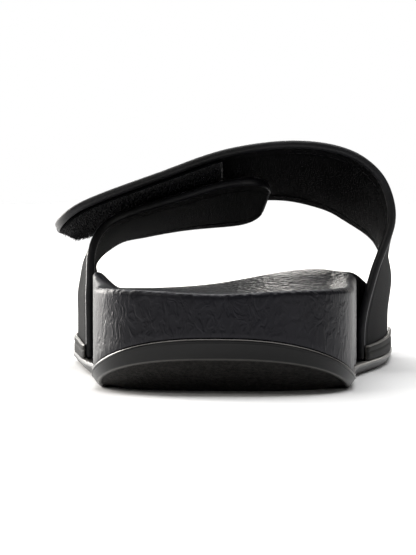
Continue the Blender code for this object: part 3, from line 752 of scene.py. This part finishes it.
def strapPiece(name, sheet, end, side, creases, offset, thickness, finishes, steps, columns,
               span=(0.0, 1.0), margin=0.0, hem=False):
    # Two faces and a rounded edge between them: inset (1 - cos) and height sin of the turn;
    # finishes are those of the outer face, cut edge, inner face and rim line, the edge's outer turn,
    # where a paler finish is a painted highlight
    bends = softCreases(creases, steps, columns)
    layers = []
    for turn in straps["edgeTurns"]:
        angle = math.radians(turn)
        inset = margin + straps["edgeRound"] * thickness * (1 - math.cos(angle))
        grid = strapGrid(sheet, end, inset, steps, columns, span)
        level = offset + 0.5 * thickness * math.sin(angle) + bends
        if hem and abs(turn) == 90:
            reach = straps["hemIn"] if turn == 90 else straps["innerHemIn"]
            level = level + math.sin(angle) * hemGroove(grid, reach)
        layers.append((grid + gridNormals(grid, side) * level[..., None]).reshape(-1, 3))
    quads, rim = gridFaces(steps + 1, columns + 1)
    size, around, middle = len(layers[0]), len(rim), layers[1:-1]
    points = np.concatenate([layers[0], layers[-1]] + [layer[rim] for layer in middle])
    loops = [rim] + [2 * size + k * around + np.arange(around) for k in range(len(middle))]
    loops.append(rim + size)
    bands = [bandFaces(upper, lower) for upper, lower in zip(loops[:-1], loops[1:])]
    faces = np.concatenate([quads, quads[:, ::-1] + size] + bands)
    slots = np.repeat((0, 2, 3, 1), (len(quads), len(quads), around, len(middle) * around))
    return makeMesh(name, fromHeel(points), faces, finishes, slots, merge=False)


def repeatShape(name, template, faces, centres, along, up, finish, sizes=None):
    # One joined mesh of a small shape put at many centres, along and up giving its axes
    along = along / np.linalg.norm(along, axis=1, keepdims=True)
    across = np.cross(up, along)
    across /= np.linalg.norm(across, axis=1, keepdims=True)
    up = np.cross(along, across)
    sizes = np.ones(len(centres)) if sizes is None else sizes
    scaled = template[None] * sizes[:, None, None]
    points = centres[:, None] + scaled[..., :1] * along[:, None] + scaled[..., 1:2] * across[:, None]
    points = points + scaled[..., 2:3] * up[:, None]
    shift = (np.arange(len(centres)) * len(template))[:, None, None]
    return makeMesh(name, points.reshape(-1, 3), (faces[None] + shift).reshape(-1, 4), [finish],
                    merge=False)


def tubeTemplate(shape, wide, high, radius, sides):
    # Tube with open ends through a table's points, along and up, with the table's thickness at each
    alongShare, upShare, thick = np.array(shape, dtype=float).T
    path = np.stack([alongShare * wide, 0.0 * alongShare, upShare * high], axis=1)
    run = np.gradient(path, axis=0)
    run /= np.linalg.norm(run, axis=1, keepdims=True)
    turn = 2 * np.pi * np.arange(sides) / sides
    ring = np.stack([-run[:, None, 2] * np.cos(turn), 0 * run[:, None, 2] + np.sin(turn),
                     run[:, None, 0] * np.cos(turn)], axis=-1)
    points = path[:, None] + ring * (thick * radius)[:, None, None]
    return points.reshape(-1, 3), ringFaces(len(path), sides)


def stitchesOn(name, edge, sheet, end, side, creases, face, inset, depth, span):
    # Evenly spaced stitches on a strap's face, a fixed way in from its rear or front edge
    steps, columns = 240, 60
    grid = strapGrid(sheet, end, inset, steps, columns, span)
    normal = gridNormals(grid, side)
    level = face * (0.5 * straps["thickness"] - depth) + softCreases(creases, steps, columns)
    column = 0 if edge == "rear" else -1
    line = fromHeel((grid + normal * level[..., None])[:, column])
    arc = np.concatenate([[0.0], np.cumsum(np.linalg.norm(np.diff(line, axis=0), axis=1))])

    def read(at, table):
        return np.stack([np.interp(at, arc, table[:, k]) for k in range(3)], axis=1)

    at = np.arange(0.5 * straps["stitchPitch"], arc[-1], straps["stitchPitch"])
    half, radius = 0.5 * straps["stitchLength"], straps["stitchRadius"]
    template, faces = tubeTemplate(straps["stitchShape"], half, radius, radius, 6)
    along = read(at + half, line) - read(at - half, line)
    up = read(at, face * normal[:, column])
    made = repeatShape(name + edge, template, faces, read(at, line), along, up, thread)
    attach(made, "root")


# the fourth finish, on the rim line of the edge, is paler as a painted highlight
strapFinishes = [strapFace, strapEdge, lining, strapHighlightFinish]
outerPiece = strapPiece("strapOuterShell", *outerHalf, 0.0, straps["thickness"], strapFinishes,
                        steps=260, columns=72, hem=True)
# the under strap's rim line is paler still, a painted highlight
underPiece = strapPiece("strapUnderShell", *underHalf, 0.0, straps["thickness"],
                        strapFinishes[:3] + [underHighlightFinish], steps=200, columns=72, hem=True)
for piece, node in ((outerPiece, "strap_outer"), (underPiece, "strap_under")):
    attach(piece, "root")
    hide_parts(node)
# face, way in from the edge, and depth: on the outside stitches lie half way down the groove
outside = (1.0, straps["hemIn"], 0.5 * straps["hemDepth"])
inside = (-1.0, straps["innerHemIn"], 0.0)
for edge in ("rear", "front"):
    stitchesOn("outerHemStitches", edge, *outerHalf, *outside, (0.05, 0.93))
    stitchesOn("underHemStitches", edge, *underHalf, *outside, (0.07, 0.50))
    stitchesOn("outerLiningStitches", edge, *outerHalf, *inside, (0.16, 0.56))
    stitchesOn("underLiningStitches", edge, *underHalf, *inside, (0.22, 0.95))
print("straps made")


# Closure tapes and rands


hookTape = {
    "span": (0.650, 0.985), "margin": 0.0018, "base": 0.00055,
    "pitch": 0.00125, "high": 0.00062, "radius": 0.00011,
    # one hook: along and up as shares of its height, and thickness as shares of the radius
    "shape": ((0, 0, 1.3), (0.02, 0.55, 1), (0.25, 0.88, 1), (0.55, 0.80, 1), (0.66, 0.52, 0.6)),
}

loopTape = {
    "span": (0.56, 0.95), "margin": 0.0045, "base": 0.00045,
    "pitch": 0.00145, "high": 0.00045, "radius": 0.00009,
    "shape": ((-0.9, -0.1, 1), (-0.8, 0.5, 1), (0, 0.85, 1), (0.8, 0.5, 1), (0.9, -0.1, 1)),
}

# of hooks and loops: way in from the base's edge, depth in the base, random shift and turn, least size
pile = {"inset": 0.0009, "sink": 0.00004, "jitter": 0.5, "smallest": 0.85}


def makeTape(name, tape, sheet, end, side, face, finishes):
    # Base sheet of the tape with small hooks or loops standing on its free face, each moved and
    # turned a little at random
    span, margin, base, high = tape["span"], tape["margin"], tape["base"], tape["high"]
    clear = 0.5 * straps["thickness"] + sole["gap"]
    middle = face * (clear + 0.5 * base)
    made = strapPiece(name, sheet, end, side, (), middle, base, finishes, steps=120, columns=60,
                      span=span, margin=margin)
    length = np.sum(np.linalg.norm(np.diff(sheet[:, sheetWide // 2], axis=0), axis=1))
    steps = int((span[1] - span[0]) * length / tape["pitch"])
    columns = int(np.linalg.norm(sheet[sheetFine // 2, -1] - sheet[sheetFine // 2, 0]) / tape["pitch"])
    places = np.linspace(-0.5, 0.5, columns + 1)
    grid = strapGrid(sheet, end, margin + pile["inset"], steps, columns, span, places)
    normal = gridNormals(grid, side) * face
    centres = (grid + normal * (clear + base - pile["sink"]))[1:-1].reshape(-1, 3)
    along = np.gradient(grid, axis=0)[1:-1].reshape(-1, 3)
    up = normal[1:-1].reshape(-1, 3)
    across = np.cross(up, along)
    dice = np.random.default_rng(7 if side > 0 else 9)
    least, most, count = -pile["jitter"], pile["jitter"], len(centres)
    turn = dice.uniform(least, most, count)[:, None]
    centres = centres + (dice.uniform(least, most, (count, 1)) * along
                         + dice.uniform(least, most, (count, 1)) * across)
    template, faces = tubeTemplate(tape["shape"], high, high, tape["radius"], 3)
    small = repeatShape(name + "Pile", template, faces, fromHeel(centres), along + turn * across, up,
                        finishes[0], dice.uniform(pile["smallest"], 1.0, count))
    for piece in (made, small):
        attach(piece, "root")
    return made


hookPiece = makeTape("hookTape", hookTape, *outerHalf[:3], -1.0,
                     [hookPlastic, lining, hookPlastic, lining])
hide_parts("hook_tape")
loopPiece = makeTape("loopTape", loopTape, *underHalf[:3], 1.0, [fluff] * 4)
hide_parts("loop_tape")


rands = {
    "thickness": 0.0010, "frontHeight": 0.0065, "rearHeight": 0.0046,
    # groove: depth, and its place and spread as shares of the height
    "grooveDepth": 0.00035, "grooveAt": 0.55, "grooveWide": 0.06,
    # thinned by these shares over the top's last share and the ends' last columns
    "topThin": 0.35, "topRun": 0.14, "endThin": 0.7, "endColumns": 2.5,
    "rows": 18, "columns": 96, "lipRows": 2,
}


def makeRand(name, node, sheet, side):
    # Low band outside a strap's foot: a plain band with a shallow groove along its middle and a
    # paler lip round its edge, the paler colour a painted highlight
    rows, wide = rands["rows"], rands["columns"]
    column = np.arange(wide + 1)
    place = np.linspace(0.0, 1.0, wide + 1) * sheetWide
    low = np.clip(place.astype(int), 0, sheetWide - 1)
    line = sheet[:, low] + (sheet[:, low + 1] - sheet[:, low]) * (place - low)[None, :, None]
    tops = np.interp(column, (0, wide), (rands["rearHeight"], rands["frontHeight"]))
    levels = [np.searchsorted(line[:, k, 2] - line[0, k, 2], top) for k, top in enumerate(tops)]
    share = np.linspace(0.0, 1.0, rows + 1)
    at = np.round(share[:, None] * np.array(levels)[None, :]).astype(int)
    grid = line[at, column[None, :]]
    normal = gridNormals(grid, side)
    clear = 0.5 * straps["thickness"] + sole["gap"]
    groove = -rands["grooveDepth"] * np.exp(-((share - rands["grooveAt"]) / rands["grooveWide"]) ** 2)
    thinned = rands["topThin"] * ease((share - 1.0 + rands["topRun"]) / rands["topRun"])
    rounded = rands["thickness"] * (1 - thinned) + groove
    fromEnd = np.minimum(column, wide - column) / rands["endColumns"]
    ends = 1.0 - rands["endThin"] * np.clip(1.0 - fromEnd, 0, 1)
    outer = grid + normal * (clear + rounded[:, None] * ends[None, :])[..., None]
    inner = grid + normal * clear
    quads, rim = gridFaces(rows + 1, wide + 1)
    count = (rows + 1) * (wide + 1)
    faces = np.concatenate([quads, quads[:, ::-1] + count, bandFaces(rim, rim + count)])
    points = np.concatenate([outer.reshape(-1, 3), inner.reshape(-1, 3)])
    # the top rows and the edge band take the paler lip finish, a painted highlight
    slots = np.concatenate([quads[:, 0] // (wide + 1) >= rows - rands["lipRows"], np.zeros(len(quads)),
                            np.ones(len(rim))])
    made = makeMesh(name, fromHeel(points), faces, [randRubber, randLipPaintedHighlight], slots.astype(int), merge=False)
    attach(made, "root")
    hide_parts(node)


makeRand("randMedialBand", "rand_medial", outerSheet, 1.0)
makeRand("randLateralBand", "rand_lateral", underSheet, -1.0)
print("tapes and rands made")


# Floor, light and camera


studio = {
    "cameraPlace": (0.057, -0.960, 0.0658), "cameraAim": (-0.0063, 0.0, 0.0334), "lens": 264.0,
    "floorColour": "#f6f6f6", "floorReach": 6.0, "skyStrength": 3.3, "skyAngle": 75.0, "skyTilt": -20.0,
    # light of the surround away from and towards the pale backdrop, and the way to the backdrop
    "roomLight": 0.09, "backdropLight": 1.1, "backdropWay": (-0.60, 0.80, 0.08),
    "lampColour": (1.0, 0.965, 0.91),
    # name, place, aim, width, height, watts
    "lamps": (
        ("leftFarSoft", (-1.00, 0.85, 0.42), (-0.03, -0.05, 0.02), 0.60, 0.75, 23.0),
        ("leftHighSoft", (-0.90, -1.00, 1.00), (0.0, 0.0, 0.05), 0.45, 0.45, 4.0),
        ("farLowSoft", (-0.15, 1.60, 0.38), (0.02, 0.06, 0.03), 0.60, 0.25, 5.5),
        ("rightFarStrip", (0.42, 1.15, 0.25), (0.04, -0.03, 0.02), 0.05, 0.50, 0.3),
        ("rightSideSoft", (0.95, -0.80, 0.30), (0.03, -0.05, 0.02), 0.25, 0.50, 0.8),
    ),
}


def makeFloor():
    # Plain pale floor, one large sheet under the sandal
    made = bpy.data.materials.new("paleFloor")
    made.use_nodes = True
    shader = made.node_tree.nodes["Principled BSDF"]
    shader.inputs["Base Color"].default_value = hexColour(studio["floorColour"])
    shader.inputs["Roughness"].default_value = 0.9
    far = studio["floorReach"]
    points = [(-far, -far, 0), (far, -far, 0), (far, far, 0), (-far, far, 0)]
    floor = makeMesh("floorSheet", points, [(0, 1, 2, 3)], [made], merge=False)


def aimAt(thing, place, aim):
    # Turns a lamp or camera at a place so that it looks at the aim, with up kept upright
    look = np.array(aim, dtype=float) - np.array(place, dtype=float)
    thing.location = place
    tilt = math.atan2(math.hypot(look[0], look[1]), -look[2])
    thing.rotation_euler = (tilt, 0.0, math.atan2(look[1], look[0]) - math.pi / 2)


def makeLamps():
    # A wide soft light from above, soft panels at the sides and a surround that is brighter
    # towards the backdrop and white to the eye
    sky = bpy.data.lights.new("overheadSoft", "SUN")
    sky.energy, sky.angle = studio["skyStrength"], math.radians(studio["skyAngle"])
    holder = addToScene("overheadSoft", sky)
    holder.rotation_euler = (math.radians(studio["skyTilt"]), 0.0, 0.0)  # a little from the far side
    for name, place, aim, wide, high, power in studio["lamps"]:
        lamp = bpy.data.lights.new(name, "AREA")
        lamp.shape = "RECTANGLE"
        lamp.size, lamp.size_y, lamp.energy = wide, high, power
        lamp.color = studio["lampColour"]
        aimAt(addToScene(name, lamp), place, aim)
    world = bpy.data.worlds.new("studioSurround")
    world.use_nodes = True
    tree = world.node_tree
    back = tree.nodes["Background"]
    back.inputs["Color"].default_value = (1, 1, 1, 1)
    way = addNode(tree, "ShaderNodeTexCoord").outputs["Generated"]
    facing = addNode(tree, "ShaderNodeVectorMath", {0: way}, operation="DOT_PRODUCT")
    facing.inputs[1].default_value = studio["backdropWay"]
    glow = addNode(tree, "ShaderNodeMapRange", {"Value": facing.outputs["Value"]}, From_Min=0.70,
                   To_Min=studio["roomLight"], To_Max=studio["backdropLight"])
    rays = addNode(tree, "ShaderNodeLightPath")
    addNode(tree, "ShaderNodeMix",
            {"Factor": rays.outputs["Is Camera Ray"], "A": glow.outputs["Result"]},
            back.inputs["Strength"], B=1.0)
    bpy.context.scene.world = world


def makeCamera():
    # Camera at the photo's low viewpoint straight behind the heel
    camera = bpy.data.cameras.new("photoCamera")
    camera.lens, camera.sensor_width = studio["lens"], 36.0
    camera.sensor_fit = "HORIZONTAL"
    camera.clip_start = 0.05
    holder = addToScene("photoCamera", camera)
    aimAt(holder, studio["cameraPlace"], studio["cameraAim"])
    bpy.context.scene.camera = holder


makeFloor()
makeLamps()
makeCamera()
bpy.context.scene.view_settings.view_transform = "Standard"
print("floor, light and camera set")
